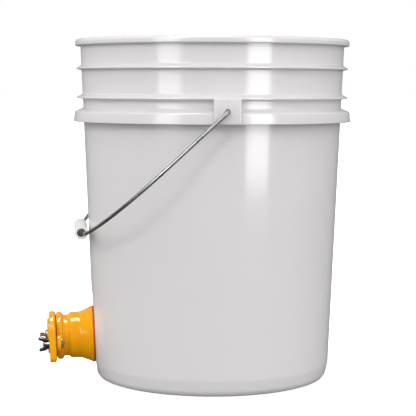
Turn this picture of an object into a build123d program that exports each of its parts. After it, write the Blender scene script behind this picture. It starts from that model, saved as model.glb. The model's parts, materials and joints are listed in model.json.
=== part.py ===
from build123d import *
from math import cos, radians, sin
import os

os.makedirs("parts", exist_ok=True)

# Straight-sided fermenting pail with a wire bail and a plastic slide gate.
# Frame: pail axis on Z, foot on Z = 0. The gate points to -X, and the bail's ears are on -Y and +Y.

# ---- pail -----------------------------------------------------------------
HEIGHT = 371.3
WALL = 2.3
KNEE_Z = 18.3            # where the straight wall starts above the rounded corner
KNEE_R = 129.9
TAPER = 0.0418           # radius gained per mm of height
FOOT_R = 120.0
FOOT_WIDTH = 8.0
FOOT_CORNER = ((124.1, 1.6), (126.7, 4.3))
FLOOR_UNDER = 3.2        # the floor is lifted off the ground inside the foot ring
FLOOR_DRAFT = 30         # degrees
FLOOR_TOP = 6.0
FLOOR_CORNER = 9.0
RIM_R = 150.1
RIM_SKIRT_Z = 364.4
RIM_SKIRT_DROP = 0.6     # the skirt's inner edge reaches lower than its outer edge
RIM_WALL = 2.2
RIM_ROOM_TOP = 368.0     # top of the gap between the wall and the rim's skirt
RIM_ROUND = 3.0
RIB_ZS = (308.3, 339.8)  # tips of the two stiffening ribs
RIB_R = 148.6
RIB_EDGE = 0.4
RIB_TIP = 0.8            # half the height of a rib's blunt tip
RIB_ABOVE = 4.0          # how far each rib's root reaches above and below its tip
RIB_BELOW = 2.0
RING_LOW_Z = 282.2       # skirt ring that carries the ears
RING_LOW_R = 152.0
RING_TOP_Z = 293.3
RING_TOP_R = 150.9
RING_ROOT_Z = 297.2
RING_WALL = 2.2
RING_INNER_TOP = 2.6     # the ring's underside ends this far below its top
GUSSETS = 24
GUSSET_WALL = 1.6
GUSSET_INSET = 1.1       # how far each gusset sinks into the wall and into the ring
GUSSET_RECESS = 1.0

# ---- ears and bail --------------------------------------------------------
EAR_FACE = 155.5         # distance of the ear's flat face from the pail axis
EAR_WIDTH = 27.5
EAR_TOP = RIB_ZS[0]
EAR_ROUND = 2.0
EAR_FRONT_WALL = 3.0
EAR_SIDE_WALL = 2.5
EAR_TOP_WALL = 3.2
HINGE_Z = 294.8
WIRE_R = 1.9
PIN_FIT = 0.08
BAIL_DIP = 42.6          # degrees below horizontal at which the bail hangs against the wall
ARM = 193.2              # hinge axis to the wire inside the grip
LEG_Y = 159.5            # wire leg beside the ear
SHOULDER_Y = 162.0       # where the two legs' lines meet the grip's line
BEND = 114.0
HOOK_Y = 147.5
HOOK_LENGTH = 8.2
HOOK_BEND = 3.2
GRIP_LENGTH = 95.0
GRIP_R = 7.25
GRIP_BORE = 4.6
GRIP_RIBS = 9
GRIP_EDGE = 0.6
GRIP_GROOVE_DEPTH = 0.9
GRIP_GROOVE_SLOPE = 0.5
GRIP_SAG = 2.4           # the loose grip's axis lies this far outside the wire

# ---- slide gate: stations are measured outward from the wall --------------
GATE_Z = 47.2
GATE_TILT = 2.4          # degrees, square to the tapered wall
SEAT_OUT = -1.2
SEAT_IN = -3.7
SEAT_R = 36.0
SEAT_POCKET_R = 33.5
SEAT_DEPTH = 9.0         # depth of the flat pad that is left behind the flange
WALL_HOLE_R = 23.3
GASKET = 1.6
GASKET_INSET = 0.2
FLANGE_R = 31.2
FLANGE_FRONT = 2.6
FLANGE_EDGE = 0.4
FLARE_END = 14.6
BODY_R = 25.3
BODY_END = 24.6
NECK_R = 22.5
NECK_START = 28.3
NECK_END = 32.8
COLLAR_R = 26.1
COLLAR_START = 36.0
COLLAR_ROUND = 4.2
SMALL_EDGE = 0.6
FACE = 40.5
BORE_R = 19.05
SHANK_R = 22.5
SHANK_EDGE = 0.8
SHANK_END = -16.0
LUG_BACK = 35.7
LUG_R = 9.5
BOLT_X = 31.0
BOLT_DROP = 3.3
BOLT_R = 3.0
BOLT_EDGE = 0.7
SHANK_FIT = 0.1
BOLT_END = 55.6
HEAD_R = 6.2
HEAD_ROOM = 0.6
HEAD_ROOM_BACK = 28.0
HEAD_HEIGHT = 3.6
HEAD_EDGE = 0.8
HEAD_GAP = 0.05
SQUARE = 6.3             # square neck under each bolt's head
SQUARE_LENGTH = 3.0
SQUARE_FIT = 0.2
NUT_R = 28.0
NUT_END = -13.2
NUT_NOTCHES = 8
NUT_NOTCH_R = 3.2
NUT_BEARING = 2.5        # thickness of the round flange under the lock nut's notches
SEAL_R = 22.4
SEAL_SECTION = 1.3
SEAL_ROOM = 0.1
SEAL_GAP = 0.15
SEAL_GROOVE = 2.3
PLATE_BACK = 41.0
WEB_TOP = 44.9
PLATE_TOP = 48.3
BOSS_R = 19.5
BOSS_TOP = 50.6
PLATE_RIM = 3.0
PLATE_R = 27.2
HANDLE_ROOT = 8.0
HANDLE_X = 46.5
HANDLE_LOW = -22.0
HANDLE_HIGH = 19.0
HANDLE_ROUND = 6.0
PIVOT_LOBE_R = 13.5
SWING_ROOM = 30          # degrees that the slot runs back from the latch bolt, past the plate's edge
SLOT_HALF = 3.4
CHANNEL_HALF = 9.5
WASHER_R = 7.2
WASHER_GAP = 0.05
WASHER_THICK = 1.2
WASHER_EDGE = 0.2
NUT_GAP = 0.05
WING_HUB_R = 6.0
WING_HUB_SEAT = 1.2
WING_HUB_TOP_R = 4.3
WING_HUB_TOP = 53.8
WING_TOP = 60.0
WING_SPAN = 14.0
WING_THICK = 2.4
WING_ROUND = 0.9
PIVOT_NUT_TURN = 85.0    # degrees of each wing nut's wings from upright
LATCH_NUT_TURN = 49.0

THROUGH = 30.0           # depth of a cut that clears all that lies before it


def wall_r(z):
    return KNEE_R + TAPER * (z - KNEE_Z)


def write(builder, name):
    builder.part.label = name
    export_step(builder.part, f"parts/{name}.step")


tilt_c = cos(radians(GATE_TILT))
tilt_s = sin(radians(GATE_TILT))
gate_origin = (-wall_r(GATE_Z), 0, GATE_Z)
gate_normal = (-tilt_c, 0, -tilt_s)
# On gate_plane x runs towards -Y, y up the wall and z outward. gate_section has x towards -Y, y outward.
gate_plane = Plane(origin=gate_origin, x_dir=(0, -1, 0), z_dir=gate_normal)
gate_section = Plane(origin=gate_origin, x_dir=(0, -1, 0), z_dir=(tilt_s, 0, -tilt_c))
gate_axis = Axis(gate_origin, gate_normal)
pivot_spot = (-BOLT_X, -BOLT_DROP)
latch_spot = (BOLT_X, -BOLT_DROP)
# path of the latch bolt through the swinging plate
latch_path = CenterArc(pivot_spot, 2 * BOLT_X, -SWING_ROOM, SWING_ROOM)

# ---- pail: outer shape, ears, gate seat, then the inside ------------------
with BuildPart() as pail_space:
    with BuildSketch(Plane.XZ):
        with BuildLine():
            Polyline(
                (0, FLOOR_TOP),
                (wall_r(FLOOR_TOP) - WALL - FLOOR_CORNER, FLOOR_TOP),
            )
            TangentArc(
                (wall_r(FLOOR_TOP) - WALL - FLOOR_CORNER, FLOOR_TOP),
                (wall_r(FLOOR_TOP + FLOOR_CORNER) - WALL, FLOOR_TOP + FLOOR_CORNER),
                tangent=(1, 0),
            )
            Polyline(
                (wall_r(FLOOR_TOP + FLOOR_CORNER) - WALL, FLOOR_TOP + FLOOR_CORNER),
                (wall_r(HEIGHT) - WALL, HEIGHT),
                (wall_r(HEIGHT) - WALL, HEIGHT + 5),
                (0, HEIGHT + 5),
                (0, FLOOR_TOP),
            )
        make_face()
    revolve(axis=Axis.Z)
    # the wall is moulded flat behind the gate
    with BuildSketch(gate_plane.offset(SEAT_IN)):
        Circle(SEAT_R + WALL)
    extrude(amount=THROUGH, mode=Mode.SUBTRACT)
    with BuildSketch(gate_plane.offset(SEAT_IN)):
        Circle(SEAT_POCKET_R)
    extrude(amount=-SEAT_DEPTH)

# hollow inside each ear, open at the bottom and reaching back to the wall
with BuildPart() as ear_hollows:
    with BuildSketch(Plane.XY.offset(RING_LOW_Z - 1)):
        Rectangle(EAR_WIDTH - 2 * EAR_SIDE_WALL, 2 * (EAR_FACE - EAR_FRONT_WALL))
    extrude(amount=EAR_TOP - EAR_TOP_WALL - RING_LOW_Z + 1)
    with BuildSketch(Plane.XZ):
        with BuildLine():
            Polyline(
                (0, RING_LOW_Z - 5),
                (wall_r(RING_LOW_Z - 5), RING_LOW_Z - 5),
                (wall_r(EAR_TOP + 5), EAR_TOP + 5),
                (0, EAR_TOP + 5),
                close=True,
            )
        make_face()
    revolve(axis=Axis.Z, mode=Mode.SUBTRACT)

with BuildPart() as pail:
    with BuildSketch(Plane.XZ):
        with BuildLine():
            Polyline((0, 0), (FOOT_R, 0))
            Spline((FOOT_R, 0), *FOOT_CORNER, (wall_r(KNEE_Z), KNEE_Z), tangents=((1, 0.1), (TAPER, 1)))
            Polyline(
                (wall_r(KNEE_Z), KNEE_Z),
                (wall_r(RING_TOP_Z - 2), RING_TOP_Z - 2),
                (RING_TOP_R - RING_WALL, RING_TOP_Z - RING_INNER_TOP),
                (RING_LOW_R - RING_WALL, RING_LOW_Z),
                (RING_LOW_R, RING_LOW_Z),
                (RING_TOP_R, RING_TOP_Z),
                (wall_r(RING_ROOT_Z), RING_ROOT_Z),
                *[
                    point
                    for tip in RIB_ZS
                    for point in (
                        (wall_r(tip - RIB_BELOW), tip - RIB_BELOW),
                        (RIB_R - RIB_EDGE, tip - RIB_TIP),
                        (RIB_R, tip),
                        (RIB_R - RIB_EDGE, tip + RIB_TIP),
                        (wall_r(tip + RIB_ABOVE), tip + RIB_ABOVE),
                    )
                ],
                (wall_r(RIM_ROOM_TOP), RIM_ROOM_TOP),
                (RIM_R - RIM_WALL, RIM_ROOM_TOP),
                (RIM_R - RIM_WALL, RIM_SKIRT_Z - RIM_SKIRT_DROP),
                (RIM_R, RIM_SKIRT_Z),
                (RIM_R, HEIGHT - RIM_ROUND),
            )
            RadiusArc((RIM_R, HEIGHT - RIM_ROUND), (RIM_R - RIM_ROUND, HEIGHT), -RIM_ROUND)
            Polyline((RIM_R - RIM_ROUND, HEIGHT), (0, HEIGHT), (0, 0))
        make_face()
    revolve(axis=Axis.Z)
    # floor lifted inside the foot ring
    with BuildSketch():
        Circle(FOOT_R - FOOT_WIDTH)
    extrude(amount=FLOOR_UNDER, taper=FLOOR_DRAFT, mode=Mode.SUBTRACT)
    # ears: open-bottomed boxes on the ring, with a hole for the wire in each face
    for side in (-1, 1):
        ear_depth = EAR_FACE - wall_r(RING_LOW_Z) + WALL / 2
        with BuildSketch(Plane.XY.offset(RING_LOW_Z)):
            with Locations((0, side * (EAR_FACE - ear_depth / 2))):
                Rectangle(EAR_WIDTH, ear_depth)
        extrude(amount=EAR_TOP - RING_LOW_Z)
    ear_corners = edges().filter_by(Axis.Z).filter_by(
        lambda edge: abs(edge.center().Y) > EAR_FACE - 1
    )
    fillet(ear_corners, EAR_ROUND)
    # gussets between the wall and the ring
    gusset_in = wall_r(RING_LOW_Z) - GUSSET_INSET
    gusset_out = RING_TOP_R - GUSSET_INSET
    with BuildSketch(Plane.XY.offset(RING_LOW_Z + GUSSET_RECESS)):
        with PolarLocations((gusset_in + gusset_out) / 2, GUSSETS, start_angle=180 / GUSSETS):
            Rectangle(gusset_out - gusset_in, GUSSET_WALL)
    extrude(amount=RING_TOP_Z - RING_LOW_Z - 2 * GUSSET_RECESS)
    add(ear_hollows.part, mode=Mode.SUBTRACT)
    # gate seat on the outside
    with BuildSketch(gate_plane.offset(SEAT_OUT)):
        Circle(SEAT_R + WALL / 2)
    extrude(amount=THROUGH, mode=Mode.SUBTRACT)
    with BuildSketch(gate_plane.offset(SEAT_OUT)):
        Circle(SEAT_R)
    extrude(amount=-SEAT_DEPTH)
    add(pail_space.part, mode=Mode.SUBTRACT)
    with BuildSketch(gate_plane):
        Circle(WALL_HOLE_R)
    extrude(amount=THROUGH, both=True, mode=Mode.SUBTRACT)
    # hinge holes
    for side in (-1, 1):
        with BuildSketch(Plane(origin=(0, side * (EAR_FACE + 1), HINGE_Z), z_dir=(0, -side, 0))):
            Circle(WIRE_R + PIN_FIT)
        extrude(amount=EAR_FRONT_WALL + 2, mode=Mode.SUBTRACT)
write(pail, "pail")

# ---- bail -----------------------------------------------------------------
dip_c = cos(radians(BAIL_DIP))
dip_s = sin(radians(BAIL_DIP))
# x along +Y, y from the hinge axis out along the hanging bail
bail_plane = Plane(origin=(0, 0, HINGE_Z), x_dir=(0, 1, 0), z_dir=(-dip_s, 0, dip_c))

with BuildPart() as bail_wire:
    with BuildLine(bail_plane) as route:
        FilletPolyline(
            (-HOOK_Y, HOOK_LENGTH),
            (-HOOK_Y, 0),
            (-LEG_Y, 0),
            (-SHOULDER_Y, ARM),
            (SHOULDER_Y, ARM),
            (LEG_Y, 0),
            (HOOK_Y, 0),
            (HOOK_Y, HOOK_LENGTH),
            radius=[HOOK_BEND, HOOK_BEND, BEND, BEND, HOOK_BEND, HOOK_BEND],
        )
    with BuildSketch(Plane(origin=route.line @ 0, z_dir=route.line % 0)):
        Circle(WIRE_R)
    sweep(path=route.line)
write(bail_wire, "bail_wire")

grip_axis_x = -ARM * dip_c - GRIP_SAG
grip_axis_z = HINGE_Z - ARM * dip_s
grip_centre = (grip_axis_x, 0, grip_axis_z)

with BuildPart() as bail_grip:
    groove = GRIP_LENGTH / (2 * GRIP_RIBS + 1) / 2
    with BuildSketch(Plane(origin=grip_centre, x_dir=(0, 1, 0), z_dir=(-1, 0, 0))):
        with BuildLine():
            Polyline(
                (-GRIP_LENGTH / 2, GRIP_BORE),
                (-GRIP_LENGTH / 2, GRIP_R - GRIP_EDGE),
                (-GRIP_LENGTH / 2 + GRIP_EDGE, GRIP_R),
                *[
                    point
                    for k in range(GRIP_RIBS)
                    for middle in [(k - (GRIP_RIBS - 1) / 2) * 4 * groove]
                    for point in (
                        (middle - groove, GRIP_R),
                        (middle - groove + GRIP_GROOVE_SLOPE, GRIP_R - GRIP_GROOVE_DEPTH),
                        (middle + groove - GRIP_GROOVE_SLOPE, GRIP_R - GRIP_GROOVE_DEPTH),
                        (middle + groove, GRIP_R),
                    )
                ],
                (GRIP_LENGTH / 2 - GRIP_EDGE, GRIP_R),
                (GRIP_LENGTH / 2, GRIP_R - GRIP_EDGE),
                (GRIP_LENGTH / 2, GRIP_BORE),
                close=True,
            )
        make_face()
    revolve(axis=Axis(grip_centre, (0, 1, 0)))
write(bail_grip, "bail_grip")

# ---- gate body, its nut and its seals -------------------------------------
flange_back = SEAT_OUT + GASKET

with BuildPart() as flange_gasket:
    with BuildSketch(gate_plane.offset(SEAT_OUT)):
        Circle(FLANGE_R - GASKET_INSET)
        Circle(WALL_HOLE_R, mode=Mode.SUBTRACT)
    extrude(amount=GASKET)
write(flange_gasket, "flange_gasket")

with BuildPart() as spout_body:
    with BuildSketch(gate_section):
        with BuildLine():
            Polyline(
                (0, SHANK_END),
                (SHANK_R - SHANK_EDGE, SHANK_END),
                (SHANK_R, SHANK_END + SHANK_EDGE),
                (SHANK_R, flange_back),
                (FLANGE_R - FLANGE_EDGE, flange_back),
                (FLANGE_R, flange_back + FLANGE_EDGE),
                (FLANGE_R, FLANGE_FRONT - 2 * FLANGE_EDGE),
                (FLANGE_R - FLANGE_EDGE, FLANGE_FRONT),
                (BODY_R, FLARE_END),
                (BODY_R, BODY_END),
                (NECK_R, NECK_START),
                (NECK_R, NECK_END),
            )
            RadiusArc((NECK_R, NECK_END), (COLLAR_R, COLLAR_START), -COLLAR_ROUND)
            Polyline(
                (COLLAR_R, COLLAR_START),
                (COLLAR_R, FACE - SMALL_EDGE),
                (COLLAR_R - SMALL_EDGE, FACE),
                (0, FACE),
                (0, SHANK_END),
            )
        make_face()
    revolve(axis=gate_axis)
    with BuildSketch(gate_plane.offset(LUG_BACK)):
        with Locations((0, -BOLT_DROP)):
            SlotCenterToCenter(2 * BOLT_X, 2 * LUG_R)
    extrude(amount=FACE - LUG_BACK)
    # room for the two bolt heads behind the lugs, square necks and round holes
    with BuildSketch(gate_plane.offset(HEAD_ROOM_BACK)):
        with Locations(pivot_spot, latch_spot):
            Circle(HEAD_R + HEAD_ROOM)
    extrude(amount=LUG_BACK - HEAD_ROOM_BACK, mode=Mode.SUBTRACT)
    with BuildSketch(gate_plane.offset(LUG_BACK)):
        with Locations(pivot_spot, latch_spot):
            Rectangle(SQUARE + SQUARE_FIT, SQUARE + SQUARE_FIT)
    extrude(amount=SQUARE_LENGTH + SHANK_FIT, mode=Mode.SUBTRACT)
    with BuildSketch(gate_plane.offset(LUG_BACK)):
        with Locations(pivot_spot, latch_spot):
            Circle(BOLT_R + SHANK_FIT)
    extrude(amount=FACE - LUG_BACK, mode=Mode.SUBTRACT)
    # bore and the seal's groove in the face
    with BuildSketch(gate_plane.offset(SHANK_END)):
        Circle(BORE_R)
    extrude(amount=FACE - SHANK_END, mode=Mode.SUBTRACT)
    with BuildSketch(gate_plane.offset(FACE)):
        Circle(SEAL_R + SEAL_SECTION + SEAL_ROOM)
        Circle(SEAL_R - SEAL_SECTION - SEAL_ROOM, mode=Mode.SUBTRACT)
    extrude(amount=-SEAL_GROOVE, mode=Mode.SUBTRACT)
write(spout_body, "spout_body")

with BuildPart() as face_seal:
    with BuildSketch(gate_section):
        with Locations((SEAL_R, PLATE_BACK - SEAL_GAP - SEAL_SECTION)):
            Circle(SEAL_SECTION)
    revolve(axis=gate_axis)
write(face_seal, "face_seal")

with BuildPart() as lock_nut:
    with BuildSketch(gate_plane.offset(SEAT_IN)):
        Circle(NUT_R)
        Circle(SHANK_R + SHANK_FIT, mode=Mode.SUBTRACT)
    extrude(amount=NUT_END - SEAT_IN)
    with BuildSketch(gate_plane.offset(SEAT_IN - NUT_BEARING)):
        with PolarLocations(NUT_R, NUT_NOTCHES):
            Circle(NUT_NOTCH_R)
    extrude(amount=NUT_END - SEAT_IN + NUT_BEARING, mode=Mode.SUBTRACT)
write(lock_nut, "lock_nut")

# ---- gate plate -----------------------------------------------------------
with BuildSketch(Plane.XY) as plate_outline:
    Circle(PLATE_R)
    with Locations(pivot_spot):
        Circle(PIVOT_LOBE_R)
    with Locations((-BOLT_X / 2, -BOLT_DROP)):
        Rectangle(BOLT_X, 2 * PIVOT_LOBE_R)
    with Locations(((HANDLE_X + HANDLE_ROOT) / 2, (HANDLE_LOW + HANDLE_HIGH) / 2)):
        RectangleRounded(HANDLE_X - HANDLE_ROOT, HANDLE_HIGH - HANDLE_LOW, HANDLE_ROUND)

with BuildPart() as gate_plate:
    with BuildSketch(gate_plane.offset(PLATE_BACK)):
        add(plate_outline.sketch)
    extrude(amount=PLATE_TOP - PLATE_BACK)
    with BuildSketch(gate_plane.offset(WEB_TOP)):
        offset(plate_outline.sketch, amount=-PLATE_RIM, kind=Kind.INTERSECTION)
        Circle(BOSS_R, mode=Mode.SUBTRACT)
    extrude(amount=THROUGH, mode=Mode.SUBTRACT)
    with BuildSketch(gate_plane.offset(WEB_TOP)):
        Circle(BOSS_R)
    extrude(amount=BOSS_TOP - WEB_TOP)
    # the latch washer's channel is an arc about the pivot, open at the lower edge
    with BuildSketch(gate_plane.offset(WEB_TOP)):
        SlotArc(latch_path, 2 * CHANNEL_HALF)
    extrude(amount=THROUGH, mode=Mode.SUBTRACT)
    with BuildSketch(gate_plane.offset(PLATE_BACK)):
        SlotArc(latch_path, 2 * SLOT_HALF)
    extrude(amount=THROUGH, mode=Mode.SUBTRACT)
    # recess and hole around the pivot
    with BuildSketch(gate_plane.offset(WEB_TOP)):
        with Locations(pivot_spot):
            Circle(PIVOT_LOBE_R - PLATE_RIM)
    extrude(amount=THROUGH, mode=Mode.SUBTRACT)
    with BuildSketch(gate_plane.offset(PLATE_BACK)):
        with Locations(pivot_spot):
            Circle(BOLT_R + PIN_FIT)
    extrude(amount=THROUGH, mode=Mode.SUBTRACT)
write(gate_plate, "gate_plate")

# ---- carriage bolts, washers and wing nuts --------------------------------
wing_outline = [
    (0, WEB_TOP + 3.3),
    (5.0, WEB_TOP + 3.3),
    (9.6, WEB_TOP + 5.3),
    (12.4, WEB_TOP + 8.5),
    (WING_SPAN, WING_TOP - 1.7),
    (13.4, WING_TOP),
    (10.6, WING_TOP),
    (8.2, WING_TOP - 3.2),
    (4.6, WING_HUB_TOP - 0.2),
    (0, WING_HUB_TOP - 0.2),
]
hub_back = WEB_TOP + WASHER_GAP + WASHER_THICK + NUT_GAP
dome_rise = HEAD_HEIGHT - HEAD_EDGE
dome_r = (HEAD_R ** 2 + dome_rise ** 2) / (2 * dome_rise)

for name, spot, turn in (("pivot", pivot_spot, PIVOT_NUT_TURN), ("latch", latch_spot, LATCH_NUT_TURN)):
    centre = gate_plane.from_local_coords(spot + (0,))
    bolt_plane = Plane(origin=centre, x_dir=gate_plane.x_dir, z_dir=gate_plane.z_dir)
    bolt_section = Plane(origin=centre, x_dir=gate_section.x_dir, z_dir=gate_section.z_dir)
    wing_dir = bolt_plane.x_dir * sin(radians(turn)) + bolt_plane.y_dir * cos(radians(turn))
    wing_plane = Plane(origin=centre, x_dir=wing_dir, z_dir=wing_dir.cross(bolt_plane.z_dir))
    bolt_axis = Axis(centre, gate_normal)

    with BuildPart() as bolt:
        with BuildSketch(bolt_section):
            with BuildLine():
                Polyline(
                    (0, LUG_BACK - HEAD_HEIGHT),
                    (0, BOLT_END),
                    (BOLT_R - BOLT_EDGE, BOLT_END),
                    (BOLT_R, BOLT_END - BOLT_EDGE),
                    (BOLT_R, LUG_BACK - HEAD_GAP),
                    (HEAD_R, LUG_BACK - HEAD_GAP),
                    (HEAD_R, LUG_BACK - HEAD_EDGE),
                )
                RadiusArc((HEAD_R, LUG_BACK - HEAD_EDGE), (0, LUG_BACK - HEAD_HEIGHT), dome_r)
            make_face()
        revolve(axis=bolt_axis)
        with BuildSketch(bolt_plane.offset(LUG_BACK - HEAD_GAP)):
            Rectangle(SQUARE, SQUARE)
        extrude(amount=SQUARE_LENGTH)
    write(bolt, f"{name}_bolt")

    with BuildPart() as washer:
        with BuildSketch(bolt_plane.offset(WEB_TOP + WASHER_GAP)):
            Circle(WASHER_R)
            Circle(BOLT_R + PIN_FIT, mode=Mode.SUBTRACT)
        extrude(amount=WASHER_THICK)
        chamfer(edges().filter_by(GeomType.CIRCLE).group_by(SortBy.RADIUS)[-1], WASHER_EDGE)
    write(washer, f"{name}_washer")

    with BuildPart() as wing_nut:
        with BuildSketch(bolt_section):
            with BuildLine():
                Polyline(
                    (0, hub_back),
                    (WING_HUB_R, hub_back),
                    (WING_HUB_R, hub_back + WING_HUB_SEAT),
                    (WING_HUB_TOP_R + SMALL_EDGE, WING_HUB_TOP - SMALL_EDGE),
                    (WING_HUB_TOP_R, WING_HUB_TOP),
                    (0, WING_HUB_TOP),
                    close=True,
                )
            make_face()
        revolve(axis=bolt_axis)
        # the two wings, cut from one plate through the hub
        with BuildSketch(wing_plane):
            for hand in (-1, 1):
                with BuildLine():
                    Polyline(*[(hand * x, station) for x, station in wing_outline], close=True)
                make_face()
        extrude(amount=WING_THICK / 2, both=True)
        wing_tips = edges().filter_by(Axis(centre, wing_plane.z_dir)).filter_by(
            lambda edge: bolt_plane.to_local_coords(edge.center()).Z > BOLT_END + WING_ROUND
        )
        fillet(wing_tips, WING_ROUND)
        with BuildSketch(bolt_plane.offset(hub_back)):
            Circle(BOLT_R + PIN_FIT)
        extrude(amount=THROUGH, mode=Mode.SUBTRACT)
    write(wing_nut, f"{name}_wing_nut")
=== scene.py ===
import json
from math import atan2, ceil, cos, pi, radians, sin, sqrt, tan

import bmesh
import bpy
from mathutils import Euler, Matrix, Vector


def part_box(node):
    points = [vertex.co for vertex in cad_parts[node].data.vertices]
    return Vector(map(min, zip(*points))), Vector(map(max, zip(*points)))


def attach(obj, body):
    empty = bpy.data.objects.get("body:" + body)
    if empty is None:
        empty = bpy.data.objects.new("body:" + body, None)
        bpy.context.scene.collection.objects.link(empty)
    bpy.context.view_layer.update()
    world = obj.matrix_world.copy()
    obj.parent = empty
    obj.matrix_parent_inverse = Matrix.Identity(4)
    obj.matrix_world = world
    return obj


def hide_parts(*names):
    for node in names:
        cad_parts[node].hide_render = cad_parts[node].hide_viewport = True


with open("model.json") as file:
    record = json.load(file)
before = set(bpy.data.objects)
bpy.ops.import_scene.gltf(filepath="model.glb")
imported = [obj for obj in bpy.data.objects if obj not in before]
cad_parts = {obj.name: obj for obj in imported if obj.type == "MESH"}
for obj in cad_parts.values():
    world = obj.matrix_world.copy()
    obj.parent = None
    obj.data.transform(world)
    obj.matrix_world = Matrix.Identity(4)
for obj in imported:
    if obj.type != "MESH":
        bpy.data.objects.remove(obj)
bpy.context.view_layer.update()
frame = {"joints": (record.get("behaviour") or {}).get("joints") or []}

MM = 0.001
joints = {joint["name"]: joint for joint in frame["joints"]}

# ---- places taken from the frame ------------------------------------------
pail_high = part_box("pail")[1]
HEIGHT = pail_high.z / MM
hinge_z = joints["bail_swing"]["pos_m"][2] / MM
grip_centre = Vector(joints["grip_spin"]["pos_m"])
pivot_point = Vector(joints["gate_swing"]["pos_m"])
gate_out = Vector(joints["gate_swing"]["axis"]).normalized()
latch_point = Vector(joints["latch_nut_turn"]["pos_m"])
gate_side = Vector((0, -1, 0))
gate_up = gate_out.cross(gate_side)

# Gate stations, in mm outward from the pail's wall; the joints' points lie at JOINT_STATION.
JOINT_STATION = 45.0
BOLT_DROP = 3.3
BOLT_X = (latch_point - pivot_point).length / 2 / MM
gate_origin = (pivot_point + latch_point) / 2
gate_origin += (gate_up * BOLT_DROP - gate_out * JOINT_STATION) * MM
GATE = Matrix((gate_side, gate_up, gate_out)).transposed().to_4x4()
GATE.translation = gate_origin
PIVOT = (-BOLT_X, -BOLT_DROP)
LATCH = (BOLT_X, -BOLT_DROP)

# ---- pail -----------------------------------------------------------------
WALL = 2.3
KNEE_Z = 18.3
KNEE_R = 129.9
TAPER = 0.0418
FOOT_R = 120.0
FOOT_WIDTH = 6.5
TOE_R = 124.2             # the foot's outer edge turns up through the toe and the heel to the knee
TOE_Z = 1.5
HEEL_R = 127.2
HEEL_Z = 5.2
FLOOR_UNDER = 3.2
FLOOR_TOP = 6.0
RIM_R = 150.1
RIM_SKIRT_Z = 364.4
RIM_WALL = 2.2
RIM_ROOM_TOP = 368.0
RIB_ZS = (308.3, 339.8)
RIB_R = 148.6
RING_LOW_Z = 282.2
RING_LOW_R = 152.0
RING_TOP_Z = 293.3
RING_TOP_R = 150.9
RING_ROOT_Z = 297.2
RING_WALL = 2.2
RIB_UNDER = 1.9           # each rib starts this far under its tip and ends RIB_OVER above it
RIB_OVER = 3.6
GUSSETS = 24
GUSSET_HALF = 0.8
EAR_FACE = pail_high.y / MM
EAR_WIDTH = 27.5
EAR_TOP = RIB_ZS[0]
EAR_FRONT_WALL = 3.0
EAR_SIDE_WALL = 2.5
EAR_TOP_WALL = 3.2
EYE_ROOM = 0.9
TURN_STEPS = 320          # steps round the pail
PAIL_STEP = 14.0          # longest step up the pail's section, and the same beside the gate
GATE_STEP = 3.5
GATE_REACH_Z = 105.0
SEAT_S = -1.2
SEAT_R = 34.0
SEAT_BLEND_R = 54.0       # the moulded flat fades into the round wall out to here
SEAT_DEPTH = 25.0
SEAT_FADE_LOW = 3.0       # and from this height down to the foot
SEAT_FADE = 8.0

# ---- bail -----------------------------------------------------------------
WIRE_R = 1.9
HOOK_Y = 147.5
HOOK_LENGTH = 8.2
HOOK_BEND = 3.2
LEG_Y = 159.5
SHOULDER_Y = 162.0
BEND = 114.0
GRIP_SAG = 2.4
GRIP_LENGTH = 95.0
GRIP_R = 7.25
GRIP_BORE = 4.6
GRIP_RINGS = 9
GRIP_GROOVE = 0.9
GRIP_END = 5.0            # plain length at each end of the grip
BAIL_STEP = 6.0

# ---- gate -----------------------------------------------------------------
GASKET = 1.6
FLANGE_R = 31.2
BORE_R = 19.05
SHANK_R = 22.5
SHANK_END = -16.0
SHANK_ROOM = 0.8
THREAD_DEPTH = 1.1
FLANGE_EDGE = 2.2
FLANGE_TOP = 3.0
FLARE_TOP = 14.6
BODY_TOP = 24.6
NECK_LOW = 28.3
NECK_HIGH = 33.0
COLLAR_BACK = 34.6
NECK_R = 22.5
BODY_R = 25.3
COLLAR_R = 26.1
FACE = 40.5
LUG_BACK = 35.7
LUG_R = 9.5
BOLT_R = 3.0
BOLT_END = 55.6
HEAD_R = 6.2
HEAD_HEIGHT = 3.6
HEAD_EDGE = 0.8
HEAD_ROOM = 0.6
NECK_SQUARE = 6.3
NECK_LENGTH = 3.0
NUT_R = 28.0
NUT_FACE = -3.7
NUT_END = -13.2
NUT_BITES = 8
NUT_BITE_R = 3.2
SEAL_R = 22.4
SEAL_SECTION = 1.3
GROOVE_DEPTH = 2.3
PLATE_BACK = 41.0
WEB_TOP = 44.9
PLATE_TOP = 48.3
BOSS_R = 19.5
BOSS_TOP = 50.6
PLATE_RIM = 3.0
PLATE_R = 27.2
HANDLE_X = 46.5
HANDLE_LOW = -22.0
HANDLE_HIGH = 19.0
PIVOT_LOBE_R = 13.5
SLOT_HALF = 3.4
SLOT_START = -30.0        # degrees below the latch bolt, where the slot opens
CHANNEL_HALF = 9.5
WASHER_R = 7.2
WASHER_BACK = WEB_TOP + 0.05
WASHER_THICK = 1.2
HUB_BACK = WASHER_BACK + WASHER_THICK + 0.05
HUB_TOP = 53.8
WING_TOP = 60.0
WING_SPAN = 14.0
WING_THICK = 2.4
HUB_R = 6.0
HUB_TOP_R = 4.6
PIVOT_NUT_TURN = 85.0
LATCH_NUT_TURN = 49.0
M6_PITCH = 1.0
SHANK_PITCH = 2.3


def wall_r(z):
    return KNEE_R + TAPER * (z - KNEE_Z)


# ---- mesh helpers ---------------------------------------------------------
def new_object(name, verts, faces):
    mesh = bpy.data.meshes.new(name)
    mesh.from_pydata([tuple(v) for v in verts], [], faces)
    mesh.validate()
    obj = bpy.data.objects.new(name, mesh)
    bpy.context.scene.collection.objects.link(obj)
    return obj


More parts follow.
